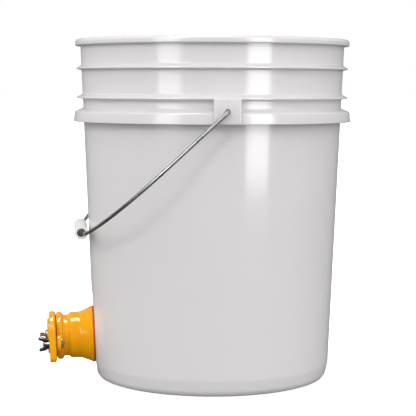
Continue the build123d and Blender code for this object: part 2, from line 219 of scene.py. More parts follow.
def corner_arc(before, corner, after, radius, steps, share):
    """Points that round one corner of a flat path; the arc takes at most a share of each side."""
    a, c, b = Vector(before), Vector(corner), Vector(after)
    to_a, to_b = (a - c), (b - c)
    half = to_a.angle(to_b) / 2
    if radius <= 0 or half > pi / 2 - 0.01:
        return [c]
    reach = min(radius / tan(half), share * to_a.length, share * to_b.length)
    start, end = c + to_a.normalized() * reach, c + to_b.normalized() * reach
    middle = c + (to_a.normalized() + to_b.normalized()).normalized() * reach / cos(half)
    spoke_a, spoke_b = start - middle, end - middle
    sweep = spoke_a.angle(spoke_b)
    points = []
    for i in range(steps + 1):
        t = i / steps
        k_a, k_b = sin((1 - t) * sweep) / sin(sweep), sin(t * sweep) / sin(sweep)
        points.append(middle + spoke_a * k_a + spoke_b * k_b)
    return points


def rounded(path, closed=False, steps=5, share=0.499):
    """path is (x, y, radius) corners; the corners with a radius become arcs."""
    flat = [p[:2] for p in path]
    points = []
    for i, (x, y, radius) in enumerate(path):
        if not closed and i in (0, len(path) - 1):
            points.append(Vector((x, y)))
            continue
        points += corner_arc(flat[i - 1], (x, y), flat[(i + 1) % len(path)], radius, steps, share)
    return points


def with_steps(path, longest):
    """The same path with its long runs cut into even steps; longest(a, b) says how long they may be."""
    points = [path[0]]
    for a, b in zip(path, path[1:]):
        count = max(1, ceil((b - a).length / longest(a, b)))
        points += [a.lerp(b, i / count) for i in range(1, count + 1)]
    return points


def lathe(name, profile, steps=96, place=Matrix(), shape=None):
    """Turns a closed (radius, height) profile, in mm, about the third axis of place."""
    verts, faces, rings = [], [], []
    on_axis = 1e-6
    for r, h in profile:
        if r < on_axis:
            rings.append([len(verts)] * steps)
            verts.append(Vector((0, 0, h)))
            continue
        rings.append(list(range(len(verts), len(verts) + steps)))
        for k in range(steps):
            turn = 2 * pi * k / steps
            verts.append(Vector((r * cos(turn), r * sin(turn), h)))
    for i, ring in enumerate(rings):
        above = rings[(i + 1) % len(rings)]
        if ring[0] == ring[1] and above[0] == above[1]:
            continue
        for k in range(steps):
            n = (k + 1) % steps
            quad = [ring[k], ring[n], above[n], above[k]]
            faces.append(list(dict.fromkeys(quad)))
    if shape:
        verts = [shape(v) for v in verts]
    return finish_mesh(new_object(name, [place @ (v * MM) for v in verts], faces))


def finish_mesh(obj, sharp=32):
    """Faces outward, smooth shading with edges kept sharp past an angle."""
    work = bmesh.new()
    work.from_mesh(obj.data)
    bmesh.ops.remove_doubles(work, verts=work.verts, dist=1e-7)
    bmesh.ops.recalc_face_normals(work, faces=work.faces)
    work.to_mesh(obj.data)
    work.free()
    obj.data.shade_smooth()
    obj.data.set_sharp_from_angle(angle=radians(sharp))
    return obj


def prism(name, outline, low, high, place=Matrix()):
    """A flat outline, in mm, made solid between two heights along the third axis of place."""
    count = len(outline)
    verts = [place @ (Vector((x, y, h)) * MM) for h in (low, high) for x, y in outline]
    faces = [list(range(count)), list(range(count, 2 * count))]
    faces += [[i, (i + 1) % count, (i + 1) % count + count, i + count] for i in range(count)]
    return finish_mesh(new_object(name, verts, faces))


def circle(radius, centre=(0, 0), steps=96):
    turns = [2 * pi * k / steps for k in range(steps)]
    return [(centre[0] + radius * cos(t), centre[1] + radius * sin(t)) for t in turns]


def rectangle(x_low, x_high, y_low, y_high, radius=0.0):
    corners = [(x_low, y_low), (x_high, y_low), (x_high, y_high), (x_low, y_high)]
    return rounded([(x, y, radius) for x, y in corners], closed=True, steps=8)


def arc_band(centre, middle_r, half, start, end, steps=48):
    """Outline of a slot that follows an arc, square at its far end and round at its near end."""
    turns = [radians(start + (end - start) * k / steps) for k in range(steps + 1)]
    outer = [(middle_r + half, t) for t in turns]
    inner = [(middle_r - half, t) for t in reversed(turns)]
    points = [(centre[0] + r * cos(t), centre[1] + r * sin(t)) for r, t in outer]
    tip = Vector((centre[0] + middle_r * cos(turns[-1]), centre[1] + middle_r * sin(turns[-1])))
    for k in range(1, 16):
        turn = turns[-1] + pi * k / 16
        points.append((tip.x + half * cos(turn), tip.y + half * sin(turn)))
    return points + [(centre[0] + r * cos(t), centre[1] + r * sin(t)) for r, t in inner]


def apply_modifiers(obj):
    graph = bpy.context.evaluated_depsgraph_get()
    mesh = bpy.data.meshes.new_from_object(obj.evaluated_get(graph))
    obj.modifiers.clear()
    old = obj.data
    obj.data = mesh
    bpy.data.meshes.remove(old)
    return obj


def joined(name, parts):
    """Several closed meshes as one object."""
    work = bmesh.new()
    for part in parts:
        work.from_mesh(part.data)
        bpy.data.objects.remove(part)
    mesh = bpy.data.meshes.new(name)
    work.to_mesh(mesh)
    work.free()
    obj = bpy.data.objects.new(name, mesh)
    bpy.context.scene.collection.objects.link(obj)
    return finish_mesh(obj)


def combine(obj, other, operation):
    """UNION or DIFFERENCE of two closed solids; the second is used up."""
    bpy.context.view_layer.update()
    cut = obj.modifiers.new("cut", "BOOLEAN")
    cut.operation = operation
    cut.solver = "MANIFOLD"
    cut.object = other
    apply_modifiers(obj)
    bpy.data.objects.remove(other)
    return obj


def soften(obj, width, steps=2, angle=35):
    """Small round edges, as a moulded or cast piece has."""
    edge = obj.modifiers.new("edge", "BEVEL")
    edge.width = width * MM
    edge.segments = steps
    edge.limit_method = "ANGLE"
    edge.angle_limit = radians(angle)
    edge.harden_normals = False
    apply_modifiers(obj)
    return finish_mesh(obj)


def recast(obj, voxel, rounds):
    """Remeshes a small cast piece so that every edge and inner corner is soft."""
    cast = obj.modifiers.new("cast", "REMESH")
    cast.mode = "VOXEL"
    cast.voxel_size = voxel * MM
    cast.use_smooth_shade = True
    melt = obj.modifiers.new("melt", "SMOOTH")
    melt.factor = 0.5
    melt.iterations = rounds
    apply_modifiers(obj)
    obj.data.shade_smooth()
    return obj


def tube(name, route, radius, sides=28):
    """A round wire along a list of points, in metres, with slightly rounded ends."""
    verts, faces = [], []
    tangent = (route[1] - route[0]).normalized()
    across = tangent.orthogonal().normalized()
    last = len(route) - 1
    for i, point in enumerate(route):
        tangent = (route[min(i + 1, last)] - route[max(i - 1, 0)]).normalized()
        across = (across - tangent * across.dot(tangent)).normalized()
        up = tangent.cross(across)
        r = radius * (0.72 if i in (0, last) else 1.0)
        for k in range(sides):
            turn = 2 * pi * k / sides
            verts.append(point + (across * cos(turn) + up * sin(turn)) * r)
    for i in range(last):
        for k in range(sides):
            n = (k + 1) % sides
            a, b = i * sides, (i + 1) * sides
            faces.append([a + k, a + n, b + n, b + k])
    faces.append(list(range(sides)))
    faces.append(list(range(last * sides, (last + 1) * sides)))
    return finish_mesh(new_object(name, verts, faces))


def screw_ridge(name, radius, depth, pitch, low, high, place, steps=48):
    """One closed helical ridge, fading in and out at its ends, for an outside thread (depth > 0)."""
    section = [(-0.42, -0.15), (-0.10, 1.0), (0.10, 1.0), (0.42, -0.15)]
    turns = (high - low) / pitch
    count = int(turns * steps)
    verts, faces = [], []
    for i in range(count + 1):
        t = i / count
        fade = min(1.0, 5 * t, 5 * (1 - t))
        turn = 2 * pi * turns * t
        for along, out in section:
            r = radius + depth * (out * fade if out > 0 else out)
            h = low + (high - low) * t + along * pitch
            verts.append(place @ (Vector((r * cos(turn), r * sin(turn), h)) * MM))
    sides = len(section)
    for i in range(count):
        for k in range(sides):
            n = (k + 1) % sides
            a, b = i * sides, (i + 1) * sides
            faces.append([a + k, a + n, b + n, b + k])
    faces.append(list(range(sides)))
    faces.append(list(range(count * sides, (count + 1) * sides)))
    return finish_mesh(new_object(name, verts, faces), sharp=25)


# ---- materials ------------------------------------------------------------
def grey(value, tint=(1, 1, 1)):
    return (value * tint[0], value * tint[1], value * tint[2], 1)


def colour_ramp(tree, factor, stops):
    """A colour ramp through (position, colour) stops."""
    ramp = tree.nodes.new("ShaderNodeValToRGB")
    elements = ramp.color_ramp.elements
    for element, (position, colour) in zip(elements, (stops[0], stops[-1])):
        element.position = position
        element.color = colour
    for position, colour in stops[1:-1]:
        elements.new(position).color = colour
    tree.links.new(factor, ramp.inputs["Fac"])
    return ramp.outputs["Color"]


def feed(tree, value, socket):
    """Sets a socket to a number or colour, or links an output to it."""
    if isinstance(value, (int, float, tuple)):
        socket.default_value = value
    else:
        tree.links.new(value, socket)


def colour_mix(tree, factor, a, b, blend="MIX"):
    mix = tree.nodes.new("ShaderNodeMix")
    mix.data_type = "RGBA"
    mix.blend_type = blend
    feed(tree, factor, mix.inputs[0])
    feed(tree, a, mix.inputs[6])
    feed(tree, b, mix.inputs[7])
    return mix.outputs[2]


class Surface:
    """A procedural material: a principled shader with node-made colour, roughness and bump."""

    def __init__(self, name, **constants):
        self.material = bpy.data.materials.new(name)
        self.material.use_nodes = True
        self.tree = self.material.node_tree
        self.nodes = self.tree.nodes
        self.links = self.tree.links
        self.shader = self.nodes["Principled BSDF"]
        for socket, value in constants.items():
            self.shader.inputs[socket.replace("_", " ")].default_value = value
        self.place = self.nodes.new("ShaderNodeTexCoord").outputs["Object"]
        self.height = None

    def noise(self, scale, detail):
        noise = self.nodes.new("ShaderNodeTexNoise")
        noise.inputs["Scale"].default_value = scale
        noise.inputs["Detail"].default_value = detail
        noise.inputs["Roughness"].default_value = 0.55
        self.links.new(self.place, noise.inputs["Vector"])
        return noise.outputs["Fac"]

    def spread(self, factor, low, high, socket):
        """Maps a texture to a range and feeds one of the shader's sockets."""
        spread = self.nodes.new("ShaderNodeMapRange")
        spread.inputs["From Min"].default_value = 0.3
        spread.inputs["From Max"].default_value = 0.7
        spread.inputs["To Min"].default_value = low
        spread.inputs["To Max"].default_value = high
        self.links.new(factor, spread.inputs["Value"])
        self.links.new(spread.outputs["Result"], self.shader.inputs[socket])

    def colour(self, output):
        self.links.new(output, self.shader.inputs["Base Color"])

    def clouds(self, scale, detail, stops):
        """Colours that wander from one to the next with a noise."""
        return colour_ramp(self.tree, self.noise(scale, detail), stops)

    def worn(self, tone, stops, pale):
        """The tone, turning pale on outer edges that get rubbed."""
        pointiness = self.nodes.new("ShaderNodeNewGeometry").outputs["Pointiness"]
        return colour_mix(self.tree, colour_ramp(self.tree, pointiness, stops), tone, pale)

    def bump(self, factor, strength, distance):
        """Adds one more layer of relief; distance is in metres."""
        bump = self.nodes.new("ShaderNodeBump")
        bump.inputs["Strength"].default_value = strength
        bump.inputs["Distance"].default_value = distance
        self.links.new(factor, bump.inputs["Height"])
        if self.height:
            self.links.new(self.height, bump.inputs["Normal"])
        self.height = bump.outputs["Normal"]
        self.links.new(self.height, self.shader.inputs["Normal"])


def natural_plastic(name, base, roughness):
    """Milky natural polyethylene: faint clouding, a glossy skin and a fine orange peel."""
    s = Surface(name, Roughness=roughness, IOR=1.5, Subsurface_Weight=0.3, Subsurface_Scale=0.004)
    s.shader.inputs["Subsurface Radius"].default_value = (1.0, 0.92, 0.88)
    warm, cool = (1.0, 0.975, 0.98), (0.99, 0.968, 0.98)
    s.colour(s.clouds(5, 3, [(0.3, grey(base * 0.985, cool)), (0.7, grey(base, warm))]))
    s.spread(s.noise(14, 3), roughness - 0.02, roughness + 0.03, "Roughness")
    s.bump(s.noise(180, 2), 0.05, 0.0001)
    return s.material


def yellow_plastic():
    """Warm yellow moulded plastic, glossy, with slightly rubbed edges."""
    glow = {"Subsurface_Weight": 0.2, "Subsurface_Scale": 0.003}
    s = Surface("yellow_plastic", Roughness=0.09, IOR=1.46, **glow)
    s.shader.inputs["Subsurface Radius"].default_value = (1.0, 0.30, 0.05)
    tone = s.clouds(45, 4, [(0.3, (0.86, 0.35, 0.002, 1)), (0.65, (0.92, 0.42, 0.003, 1))])
    s.colour(s.worn(tone, [(0.52, grey(0)), (0.60, grey(0.5))], (0.95, 0.50, 0.015, 1)))
    s.spread(s.noise(160, 3), 0.07, 0.12, "Roughness")
    s.bump(s.noise(700, 3), 0.03, 0.0001)
    s.bump(s.noise(90, 2), 0.04, 0.0004)
    return s.material


def rubber(name, dark, light):
    """Moulded rubber with a dusty bloom and a fine tooth."""
    s = Surface(name, Roughness=0.6, IOR=1.52)
    s.colour(s.clouds(160, 5, [(0.35, dark), (0.7, light)]))
    s.spread(s.noise(300, 3), 0.5, 0.72, "Roughness")
    s.bump(s.noise(1500, 3), 0.2, 0.0001)
    return s.material


def steel(name, dark, light, roughness, scale):
    """Bright steel with a mottled plating and a fine tooth."""
    s = Surface(name, Metallic=1.0, Roughness=roughness)
    tone = s.clouds(scale, 5, [(0.3, grey(dark)), (0.7, grey(light))])
    s.colour(s.worn(tone, [(0.53, grey(0)), (0.62, grey(0.5))], grey(0.85)))
    s.spread(s.noise(scale * 3, 4), roughness - 0.08, roughness + 0.12, "Roughness")
    s.bump(s.noise(scale * 6, 3), 0.15, 0.00005)
    return s.material


def dress(obj, material, body, slot, *nodes):
    """Gives a finished piece its material and its body, and hides the CAD nodes that it stands for."""
    obj.data.materials.clear()
    obj.data.materials.append(material)
    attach(obj, body)
    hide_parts(*nodes)
    return obj


# ---- pail -----------------------------------------------------------------
def pail_profile():
    """Closed section of the pail: under the floor, up the outside, over the rim, down the inside."""
    outside = [
        (0, FLOOR_UNDER, 0),
        (FOOT_R - 10, FLOOR_UNDER, 2.0),
        (FOOT_R - 8, 0.3, 0.8),
        (FOOT_R - FOOT_WIDTH, 0, 0.5),
        (FOOT_R, 0, 3.0),
        (TOE_R, TOE_Z, 4.0),
        (HEEL_R, HEEL_Z, 9.0),
        (wall_r(KNEE_Z - 1), KNEE_Z - 1, 22.0),
        (wall_r(RING_TOP_Z - 2), RING_TOP_Z - 2, 1.0),
        (RING_TOP_R - RING_WALL, RING_TOP_Z - 2.4, 1.0),
        (RING_LOW_R - RING_WALL, RING_LOW_Z, 0.5),
        (RING_LOW_R, RING_LOW_Z, 0.7),
        (RING_TOP_R, RING_TOP_Z, 1.6),
        (wall_r(RING_ROOT_Z), RING_ROOT_Z, 2.2),
    ]
    for tip in RIB_ZS:
        outside += [
            (wall_r(tip - RIB_UNDER), tip - RIB_UNDER, 1.2),
            (RIB_R - 0.1, tip - 0.9, 0.5),
            (RIB_R - 0.1, tip + 0.6, 0.6),
            (wall_r(tip + RIB_OVER), tip + RIB_OVER, 2.4),
        ]
    outside += [
        (wall_r(RIM_ROOM_TOP), RIM_ROOM_TOP, 0.6),
        (RIM_R - RIM_WALL, RIM_ROOM_TOP, 0.6),
        (RIM_R - RIM_WALL, RIM_SKIRT_Z - 0.5, 0.5),
        (RIM_R, RIM_SKIRT_Z, 1.2),
        (RIM_R, HEIGHT, 3.4),
        (wall_r(HEIGHT) - WALL, HEIGHT, 1.4),
    ]
    inside = [
        (wall_r(FLOOR_TOP) - WALL, FLOOR_TOP, 9.0),
        (0, FLOOR_TOP, 0),
    ]
    return rounded(outside + inside, steps=6)


def pail_step(a, b):
    """Longest step between two corners of the section; short where the gate's flat draws the wall in."""
    near_gate = min(a.y, b.y) < GATE_REACH_Z and max(a.x, b.x) > 100
    return GATE_STEP if near_gate else PAIL_STEP


def seat_shape(v):
    """Draws the wall flat behind the gate's flange and fades the flat into the round wall."""
    local = GATE.inverted() @ (v * MM) / MM
    spread = sqrt(local.x ** 2 + local.y ** 2)
    if spread > SEAT_BLEND_R or local.z < -SEAT_DEPTH:
        return v
    round_wall = sqrt(max(wall_r(v.z) ** 2 - v.y ** 2, 0)) - wall_r(v.z)
    t = min(1.0, max(0.0, (SEAT_BLEND_R - spread) / (SEAT_BLEND_R - SEAT_R)))
    ease = t * t * (3 - 2 * t)
    foot_fade = min(1.0, max(0.0, (v.z - SEAT_FADE_LOW) / SEAT_FADE))
    shift = (SEAT_S - round_wall) * ease * foot_fade
    return v + gate_out * shift


def make_pail():
    """The turned shell with its ears and gussets added, and the eyes and the gate's hole cut."""
    pail = lathe("pail_shell", with_steps(pail_profile(), pail_step), TURN_STEPS, shape=seat_shape)
    ears, hollows = [], []
    for side in (-1, 1):
        ear_back = side * (wall_r(RING_LOW_Z) - WALL / 2)
        low, high = sorted((ear_back, side * EAR_FACE))
        box = rectangle(-EAR_WIDTH / 2, EAR_WIDTH / 2, low, high)
        ear = prism("ear", box, RING_LOW_Z, EAR_TOP)
        ears.append(soften(ear, 1.3, 3))
        inner_back = side * (wall_r(EAR_TOP) + 0.1)
        low, high = sorted((inner_back, side * (EAR_FACE - EAR_FRONT_WALL)))
        half = EAR_WIDTH / 2 - EAR_SIDE_WALL
        box = rectangle(-half, half, low, high)
        hollows.append(prism("hollow", box, RING_LOW_Z - 2, EAR_TOP - EAR_TOP_WALL))
        eye = Matrix.Translation(Vector((0, side * EAR_FACE, hinge_z)) * MM)
        eye = eye @ Matrix.Rotation(pi / 2, 4, "X")
        around = circle(WIRE_R + EYE_ROOM, (0, 0.5), 40)
        hollows.append(prism("eye", around, -EAR_FRONT_WALL - 0.6, EAR_FRONT_WALL + 0.6, eye))
    for k in range(GUSSETS):
        turn = Matrix.Rotation(2 * pi * (k + 0.5) / GUSSETS, 4, "Z")
        box = rectangle(wall_r(RING_LOW_Z) - 1, RING_TOP_R - 1.4, -GUSSET_HALF, GUSSET_HALF)
        ears.append(prism("gusset", box, RING_LOW_Z + 1.2, RING_TOP_Z - 0.6, turn))
    hollows.append(prism("hole", circle(SHANK_R + SHANK_ROOM), -22, 8, GATE))
    combine(pail, joined("added", ears), "UNION")
    combine(pail, joined("removed", hollows), "DIFFERENCE")
    return finish_mesh(pail)


# ---- bail -----------------------------------------------------------------
def bail_frame():
    """x along +Y, y out from the hinge axis towards the grip, as the bail hangs."""
    wire = Vector((grip_centre.x + GRIP_SAG * MM, 0, grip_centre.z))
    hinge = Vector((0, 0, hinge_z * MM))
    out = (wire - hinge).normalized()
    across = Vector((0, 1, 0))
    place = Matrix((across, out, across.cross(out))).transposed().to_4x4()
    place.translation = hinge
    return place, (wire - hinge).length / MM


def make_bail():
    """Steel wire with a hook at each ear and one wide bend on each side."""
    place, arm = bail_frame()
    half = [
        (HOOK_Y, HOOK_LENGTH, 0),
        (HOOK_Y, 0, HOOK_BEND),
        (LEG_Y, 0, HOOK_BEND),
        (SHOULDER_Y, arm, BEND),
    ]
    corners = [(-x, y, r) for x, y, r in half] + [(x, y, r) for x, y, r in reversed(half)]
    flat = with_steps(rounded(corners, steps=36, share=0.7), lambda a, b: BAIL_STEP)
    route = [place @ Vector((p.x * MM, p.y * MM, 0)) for p in flat]
    return tube("bail_wire_bent", route, WIRE_R * MM)


def make_grip():
    """Moulded tube with raised rings and rolled ends."""
    half = GRIP_LENGTH / 2
    pitch = (GRIP_LENGTH - 2 * GRIP_END) / GRIP_RINGS
    outside = [(GRIP_R - 0.3, -half, 0.5), (GRIP_R, -half + 1.0, 0.5)]
    for k in range(GRIP_RINGS):
        low = -half + GRIP_END + k * pitch + pitch * 0.28
        high = low + pitch * 0.44
        outside += [
            (GRIP_R, low, 0.5),
            (GRIP_R - GRIP_GROOVE, low + 0.5, 0.5),
            (GRIP_R - GRIP_GROOVE, high - 0.5, 0.5),
            (GRIP_R, high, 0.5),
        ]
    outside += [(GRIP_R, half - 1.0, 0.5), (GRIP_R - 0.3, half, 0.5)]
    inside = [(GRIP_BORE, half, 0.5), (GRIP_BORE, -half, 0.5)]
    place = Matrix.Translation(grip_centre) @ Matrix.Rotation(-pi / 2, 4, "X")
    return lathe("bail_grip_moulded", rounded(outside + inside, closed=True, steps=4), 72, place)


# ---- gate body ------------------------------------------------------------
def make_gasket():
    """Flat rubber washer between the wall and the flange."""
    back, front = SEAT_S, SEAT_S + GASKET
    section = [
        (SHANK_R + SHANK_ROOM, back, 0.2),
        (FLANGE_R - 0.3, back, 0.6),
        (FLANGE_R - 0.3, front, 0.6),
        (SHANK_R + SHANK_ROOM, front, 0.2),
    ]
    return lathe("flange_gasket_ring", rounded(section, closed=True, steps=5), 128, GATE)


def make_spout():
    """Flanged body with a threaded shank, a collar, two lugs for the bolts and a groove for the seal."""
    flange_back = SEAT_S + GASKET
    section = [
        (BORE_R, SHANK_END, 0.5),
        (SHANK_R - THREAD_DEPTH, SHANK_END, 0.8),
        (SHANK_R - THREAD_DEPTH, flange_back - 1.2, 0.6),
        (SHANK_R - 0.2, flange_back, 0),
        (FLANGE_R, flange_back, 0.5),
        (FLANGE_R, FLANGE_EDGE, 1.0),
        (FLANGE_R - 1.2, FLANGE_TOP, 1.5),
        (BODY_R, FLARE_TOP, 5.0),
        (BODY_R, BODY_TOP, 0.9),
        (NECK_R, NECK_LOW, 1.8),
        (NECK_R, NECK_HIGH, 1.6),
        (COLLAR_R, COLLAR_BACK, 2.6),
        (COLLAR_R, FACE, 2.0),
        (BORE_R, FACE, 0.5),
    ]
    body = lathe("spout", rounded(section, closed=True, steps=7), 160, GATE)
    lug_path = []
    for k in range(64):
        turn = 2 * pi * k / 64
        shift = BOLT_X if cos(turn) >= 0 else -BOLT_X
        lug_path.append((shift + LUG_R * cos(turn), LUG_R * sin(turn) - BOLT_DROP))
    lugs = soften(prism("lugs", lug_path, LUG_BACK, FACE, GATE), 1.2, 4)
    combine(body, lugs, "UNION")
    cuts = [prism("bore", circle(BORE_R, steps=160), SHANK_END - 1, FACE + 1, GATE)]
    for x, y in (PIVOT, LATCH):
        cuts.append(prism("head_room", circle(HEAD_R + HEAD_ROOM, (x, y), 64), 28, LUG_BACK, GATE))
        half = NECK_SQUARE / 2 + 0.1
        square = rectangle(x - half, x + half, y - half, y + half)
        cuts.append(prism("neck", square, LUG_BACK - 1, FACE + 1, GATE))
    for cut in cuts:
        combine(body, cut, "DIFFERENCE")
    half = SEAL_SECTION + 0.1
    groove = rectangle(SEAL_R - half, SEAL_R + half, FACE - GROOVE_DEPTH, FACE + 1)
    combine(body, lathe("groove", groove, 128, GATE), "DIFFERENCE")
    core = SHANK_R - THREAD_DEPTH
    low, high = SHANK_END + 1.6, flange_back - 2.6
    ridge = screw_ridge("ridge", core, THREAD_DEPTH - 0.05, SHANK_PITCH, low, high, GATE, 96)
    return joined("spout_body_moulded", [body, ridge])


def make_lock_nut():
    """Round nut inside the pail, with bites round its edge for the fingers."""
    section = [
        (SHANK_R + 0.1, NUT_FACE, 0.6),
        (NUT_R, NUT_FACE, 0.6),
        (NUT_R, NUT_END, 1.2),
        (SHANK_R + 0.1, NUT_END, 0.8),
    ]
    nut = lathe("nut", rounded(section, closed=True, steps=5), 160, GATE)
    bites = []
    for k in range(NUT_BITES):
        turn = 2 * pi * k / NUT_BITES
        centre = ((NUT_R + 0.6) * cos(turn), (NUT_R + 0.6) * sin(turn))
        bite = circle(NUT_BITE_R, centre, 40)
        bites.append(prism("bite", bite, NUT_END - 1, NUT_FACE - 2.5, GATE))
    combine(nut, joined("bites", bites), "DIFFERENCE")
    return rename(soften(nut, 0.4, 2, 40), "lock_nut_moulded")


def rename(obj, name):
    obj.name = name
    obj.data.name = name
    return obj


def make_seal():
    """Rubber ring in the body's face, squeezed by the plate."""
    top = PLATE_BACK - 0.15
    section = circle(SEAL_SECTION, (SEAL_R, top - SEAL_SECTION), 20)
    return lathe("face_seal_ring", section, 128, GATE)


# ---- gate plate -----------------------------------------------------------
def plate_outline():
    """The round gate, with the pivot's lobe to one side and the handle to the other."""

    def on_circle(centre, radius, start, end, steps):
        turns = [radians(start + (end - start) * k / steps) for k in range(steps + 1)]
        return [(centre[0] + radius * cos(t), centre[1] + radius * sin(t), 0) for t in turns]

    low_x = sqrt(PLATE_R ** 2 - HANDLE_LOW ** 2)
    high_x = sqrt(PLATE_R ** 2 - HANDLE_HIGH ** 2)
    low_turn = atan2(HANDLE_LOW, low_x) * 180 / pi
    high_turn = atan2(HANDLE_HIGH, high_x) * 180 / pi
    handle = [(HANDLE_X, HANDLE_LOW, 6.0), (HANDLE_X, HANDLE_HIGH, 6.0)]
    disc_top = on_circle((0, 0), PLATE_R, high_turn + 2, 142, 24)
    lobe = on_circle(PIVOT, PIVOT_LOBE_R, 102, 268, 24)
    disc_low = on_circle((0, 0), PLATE_R, 222, 360 + low_turn - 2, 20)
    path = handle + [(high_x, HANDLE_HIGH, 3.0)] + disc_top + lobe + disc_low
    path += [(low_x, HANDLE_LOW, 3.0)]
    return rounded(path, closed=True, steps=8)


def drawn_in(outline, inset):
    """The outline moved inwards by the same amount all round, point for point."""
    moved = []
    for i, point in enumerate(outline):
        before = (point - outline[i - 1]).normalized()
        after = (outline[(i + 1) % len(outline)] - point).normalized()
        along = (before + after).normalized()
        reach = inset / max(0.5, along.dot(after))
        moved.append(point + Vector((-along.y, along.x)) * reach)
    return moved


def loft(name, rings, place):
    """A closed solid through outlines of equal length; each ring is (outline, height), in mm."""
    count = len(rings[0][0])
    verts = [place @ (Vector((p.x, p.y, h)) * MM) for outline, h in rings for p in outline]
    faces = [list(range(count)), list(range((len(rings) - 1) * count, len(rings) * count))]
    for i in range(len(rings) - 1):
        for k in range(count):
            n = (k + 1) % count
            faces.append([i * count + k, i * count + n, (i + 1) * count + n, (i + 1) * count + k])
    return finish_mesh(new_object(name, verts, faces))


def make_plate():
    """Rimmed plate with a round boss, a pivot hole and a slot that hooks over the latch bolt."""
    outline = plate_outline()
    section = rounded(
        [
            (6.0, PLATE_BACK, 0),
            (0, PLATE_BACK, 2.8),
            (0, PLATE_TOP, 3.2),
            (PLATE_RIM, PLATE_TOP, 0.6),
            (PLATE_RIM + 0.5, WEB_TOP, 0.8),
            (6.0, WEB_TOP, 0),
        ],
        steps=5,
    )
    plate = loft("gate_plate_moulded", [(drawn_in(outline, p.x), p.y) for p in section], GATE)
    boss = rounded(
        [
            (0, WEB_TOP - 1, 0),
            (BOSS_R, WEB_TOP - 1, 0),
            (BOSS_R, BOSS_TOP, 1.4),
            (0, BOSS_TOP, 0),
        ],
        steps=6,
    )
    combine(plate, lathe("boss", boss, 128, GATE), "UNION")
    swing = 2 * BOLT_X
    track = WEB_TOP - 0.03
    channel = arc_band(PIVOT, swing, CHANNEL_HALF, SLOT_START, 0)
    combine(plate, prism("channel", channel, track, PLATE_TOP + 5, GATE), "DIFFERENCE")
    pit = circle(PIVOT_LOBE_R - PLATE_RIM, PIVOT, 72)
    combine(plate, prism("pit", pit, track, PLATE_TOP + 6, GATE), "DIFFERENCE")
    slot = arc_band(PIVOT, swing, SLOT_HALF, SLOT_START, 0)
    combine(plate, prism("slot", slot, PLATE_BACK - 1, PLATE_TOP + 7, GATE), "DIFFERENCE")
    hole = circle(BOLT_R + 0.08, PIVOT, 48)
    combine(plate, prism("hole", hole, PLATE_BACK - 2, PLATE_TOP + 8, GATE), "DIFFERENCE")
    return finish_mesh(plate)


# ---- fasteners ------------------------------------------------------------
def bolt_place(spot):
    return GATE @ Matrix.Translation(Vector((spot[0], spot[1], 0)) * MM)


def make_bolt(name, spot):
    """Domed carriage bolt with a square neck and a rolled thread."""
    place = bolt_place(spot)
    back = LUG_BACK - 0.05
    rise = HEAD_HEIGHT - HEAD_EDGE
    dome_r = (HEAD_R ** 2 + rise ** 2) / (2 * rise)
    dome = []
    for k in range(13):
        r = HEAD_R * k / 12
        dome.append(Vector((r, LUG_BACK - HEAD_HEIGHT + dome_r - sqrt(dome_r ** 2 - r ** 2))))
    core = BOLT_R - 0.38
    stem = rounded(
        [
            (HEAD_R, LUG_BACK - HEAD_EDGE, 0),
            (HEAD_R, back, 0.3),
            (core, back, 0),
            (core, BOLT_END, 0.5),
            (0, BOLT_END, 0),
        ],
        steps=4,
    )
    body = lathe(name, dome + stem[1:], 64, place)
    half = NECK_SQUARE / 2
    square = rectangle(-half, half, -half, half, 0.5)
    neck = soften(prism("neck", square, back, back + NECK_LENGTH, place), 0.2, 2)
    thread = screw_ridge("thread", core, 0.36, M6_PITCH, LUG_BACK + 4, BOLT_END - 0.5, place, 36)
    return joined(name, [body, neck, thread])


def make_washer(name, spot):
    section = [
        (BOLT_R + 0.15, WASHER_BACK, 0.15),
        (WASHER_R, WASHER_BACK, 0.15),
        (WASHER_R, WASHER_BACK + WASHER_THICK, 0.4),
        (BOLT_R + 0.15, WASHER_BACK + WASHER_THICK, 0.3),
    ]
    return lathe(name, rounded(section, closed=True, steps=4), 72, bolt_place(spot))


def make_wing_nut(name, spot, turn):
    """Cast wing nut: tapered hub with a raised seat, two wings that sweep up and out."""
    place = bolt_place(spot) @ Matrix.Rotation(radians(90 - turn), 4, "Z")
    hub = lathe(
        name,
        rounded(
            [
                (0, HUB_BACK, 0),
                (HUB_R, HUB_BACK, 0.3),
                (HUB_R, HUB_BACK + 1.3, 0.4),
                (HUB_TOP_R + 0.4, HUB_TOP - 0.5, 1.5),
                (HUB_TOP_R, HUB_TOP, 0.6),
                (0, HUB_TOP, 0),
            ],
            steps=4,
        ),
        64,
        place,
    )
    wing = rounded(
        [
            (2.0, WEB_TOP + 3.4, 0),
            (5.5, WEB_TOP + 3.4, 1.0),
            (9.6, WEB_TOP + 5.4, 4.0),
            (12.4, WEB_TOP + 8.6, 4.0),
            (WING_SPAN, WING_TOP - 1.8, 1.5),
            (13.4, WING_TOP, 1.2),
            (10.4, WING_TOP, 1.2),
            (8.2, WING_TOP - 3.4, 3.0),
            (4.6, HUB_TOP - 0.4, 1.5),
            (2.0, HUB_TOP - 0.8, 0),
        ],
        closed=True,
        steps=5,
    )
    upright = Matrix.Rotation(pi / 2, 4, "X")
    for hand in (1, -1):
        outline = [(hand * p.x, p.y) for p in wing]
        flap = prism("flap", outline, -WING_THICK / 2, WING_THICK / 2, place @ upright)
        combine(hub, flap, "UNION")
    recast(hub, 0.22, 7)
    tap = prism("tap", circle(BOLT_R + 0.06, steps=48), HUB_BACK - 2, WING_TOP, place)
    combine(hub, tap, "DIFFERENCE")
    hub.data.shade_smooth()
    hub.data.set_sharp_from_angle(angle=radians(50))
    return rename(hub, name)


